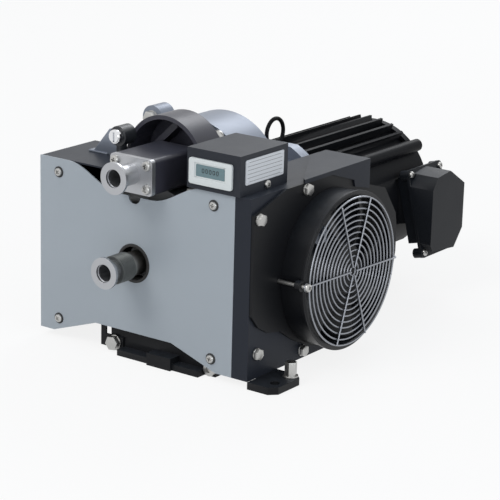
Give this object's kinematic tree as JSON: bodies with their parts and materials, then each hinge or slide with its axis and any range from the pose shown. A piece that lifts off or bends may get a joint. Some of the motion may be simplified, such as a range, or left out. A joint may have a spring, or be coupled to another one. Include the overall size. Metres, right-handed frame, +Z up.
{
  "type": "vacuum pump",
  "caption": "air cooled dry scroll vacuum pump with a sheet front cover, a guarded side fan, an hour meter box, small inlet and outlet flanges and a finned electric motor",
  "frame": {"origin": "on the floor under the shaft axis, in the plane of the front cover", "axes": "+X to the fan side, +Y along the shaft from the front cover to the motor, +Z up"},
  "size_m": [0.2854, 0.4555, 0.227],
  "materials": {
    "cover_paint": "light grey powder coat",
    "blue_grey_paint": "dark blue grey powder coat",
    "meter_box_paint": "dark grey fine texture paint",
    "black_paint": "black powder coat",
    "black_plastic": "matte black moulding",
    "guard_wire": "bright plated wire",
    "screw_steel": "bright zinc plated",
    "meter_bezel": "light grey moulding",
    "meter_display": "dark display window",
    "plate_foil": "plain satin foil",
    "dark_cast_paint": "dark paint over cast aluminium",
    "port_aluminium": "turned and blasted",
    "union_steel": "plain steel",
    "scroll_aluminium": "machined",
    "tip_seal_plastic": "filled fluoropolymer",
    "seal_rubber": "black rubber",
    "bearing_steel": "ground steel",
    "shaft_steel": "ground steel",
    "weight_iron": "bare cast iron",
    "valve_paint": "dark paint",
    "knob_chrome": "polished chrome",
    "crankcase_aluminium": "as cast silver",
    "motor_paint": "black enamel on cast aluminium",
    "terminal_paint": "black enamel",
    "terminal_plastic": "brown moulding",
    "core_steel": "laminated steel",
    "winding_copper": "enamelled copper wire"
  },
  "bodies": {
    "housing": {"base_rails": "black_paint", "base_crossbars": "black_paint", "front_pedestal": "black_paint", "pedestal_stay": "black_paint", "front_foot": "black_paint", "front_cover": "cover_paint", "left_side_sheet": "blue_grey_paint", "fan_duct": "blue_grey_paint", "duct_top_cover": "blue_grey_paint", "fan_plate": "black_paint", "fan_barrel": "black_plastic", "fan_motor": "black_plastic", "fan_guard": "guard_wire", "guard_screw": "screw_steel", "meter_box": "meter_box_paint", "hour_meter": "meter_bezel", "meter_glass": "meter_display", "meter_plate": "plate_foil", "pump_housing": "dark_cast_paint", "intake_hood": "dark_cast_paint", "inlet_duct": "dark_cast_paint", "inlet_flange": "port_aluminium", "fixed_scroll": "scroll_aluminium", "fixed_tip_seal": "tip_seal_plastic", "housing_seal": "seal_rubber", "outlet_port": "port_aluminium", "outlet_sleeve": "black_plastic", "outlet_nut": "union_steel", "outlet_grommet": "seal_rubber", "ballast_valve_body": "valve_paint", "crankcase": "crankcase_aluminium", "shaft_bearings": "bearing_steel", "guide_bearings": "bearing_steel", "motor_frame": "motor_paint", "motor_end_shields": "motor_paint", "stator_core": "core_steel", "stator_windings": "winding_copper", "lifting_eye": "motor_paint", "terminal_box": "terminal_paint", "terminal_box_cover": "terminal_paint", "terminal_block": "terminal_plastic", "cable_gland": "black_plastic", "terminal_box_screws": "screw_steel", "m4_screws": "screw_steel", "m6_bolts": "screw_steel", "m8_bolts": "screw_steel"},
    "crankshaft": {"crankshaft": "shaft_steel", "balance_weight": "weight_iron", "motor_rotor": "core_steel"},
    "orbiting_scroll": {"orbiting_scroll": "scroll_aluminium", "orbiting_tip_seal": "tip_seal_plastic", "orbiting_bearings": "bearing_steel"},
    "guide_crank_1": {"guide_crank_1": "shaft_steel"},
    "guide_crank_2": {"guide_crank_2": "shaft_steel"},
    "guide_crank_3": {"guide_crank_3": "shaft_steel"},
    "fan_impeller": {"fan_impeller": "black_plastic"},
    "ballast_knob": {"ballast_knob": "knob_chrome"},
    "valve_disc": {"discharge_valve_disc": "tip_seal_plastic"}
  },
  "joints": [
    {"name": "crankshaft_spin", "type": "hinge", "parent": "housing", "child": "crankshaft", "pos_m": [0, 0.2, 0.093], "axis": [0, 1, 0], "continuous": true},
    {"name": "scroll_orbit", "type": "hinge", "parent": "crankshaft", "child": "orbiting_scroll", "pos_m": [0.004, 0.068, 0.093], "axis": [0, 1, 0], "continuous": true},
    {"name": "guide_crank_1_spin", "type": "hinge", "parent": "housing", "child": "guide_crank_1", "pos_m": [0.03897, 0.086, 0.1155], "axis": [0, 1, 0], "continuous": true},
    {"name": "guide_crank_2_spin", "type": "hinge", "parent": "housing", "child": "guide_crank_2", "pos_m": [-0.03897, 0.086, 0.1155], "axis": [0, 1, 0], "continuous": true},
    {"name": "guide_crank_3_spin", "type": "hinge", "parent": "housing", "child": "guide_crank_3", "pos_m": [0, 0.086, 0.048], "axis": [0, 1, 0], "continuous": true},
    {"name": "fan_spin", "type": "hinge", "parent": "housing", "child": "fan_impeller", "pos_m": [0.152, 0.1183, 0.091], "axis": [1, 0, 0], "continuous": true},
    {"name": "ballast_turn", "type": "hinge", "parent": "housing", "child": "ballast_knob", "pos_m": [-0.04, 0.03, 0.2035], "axis": [0, 1, 0], "range_deg": [0, 90]},
    {"name": "discharge_valve_lift", "type": "slide", "parent": "housing", "child": "valve_disc", "axis": [0, -1, 0], "range_m": [0, 0.003]}
  ],
  "couplings": [
    {"joint": "scroll_orbit", "follows": "crankshaft_spin", "ratio": -1},
    {"joint": "guide_crank_1_spin", "follows": "crankshaft_spin", "ratio": 1},
    {"joint": "guide_crank_2_spin", "follows": "crankshaft_spin", "ratio": 1},
    {"joint": "guide_crank_3_spin", "follows": "crankshaft_spin", "ratio": 1}
  ]
}
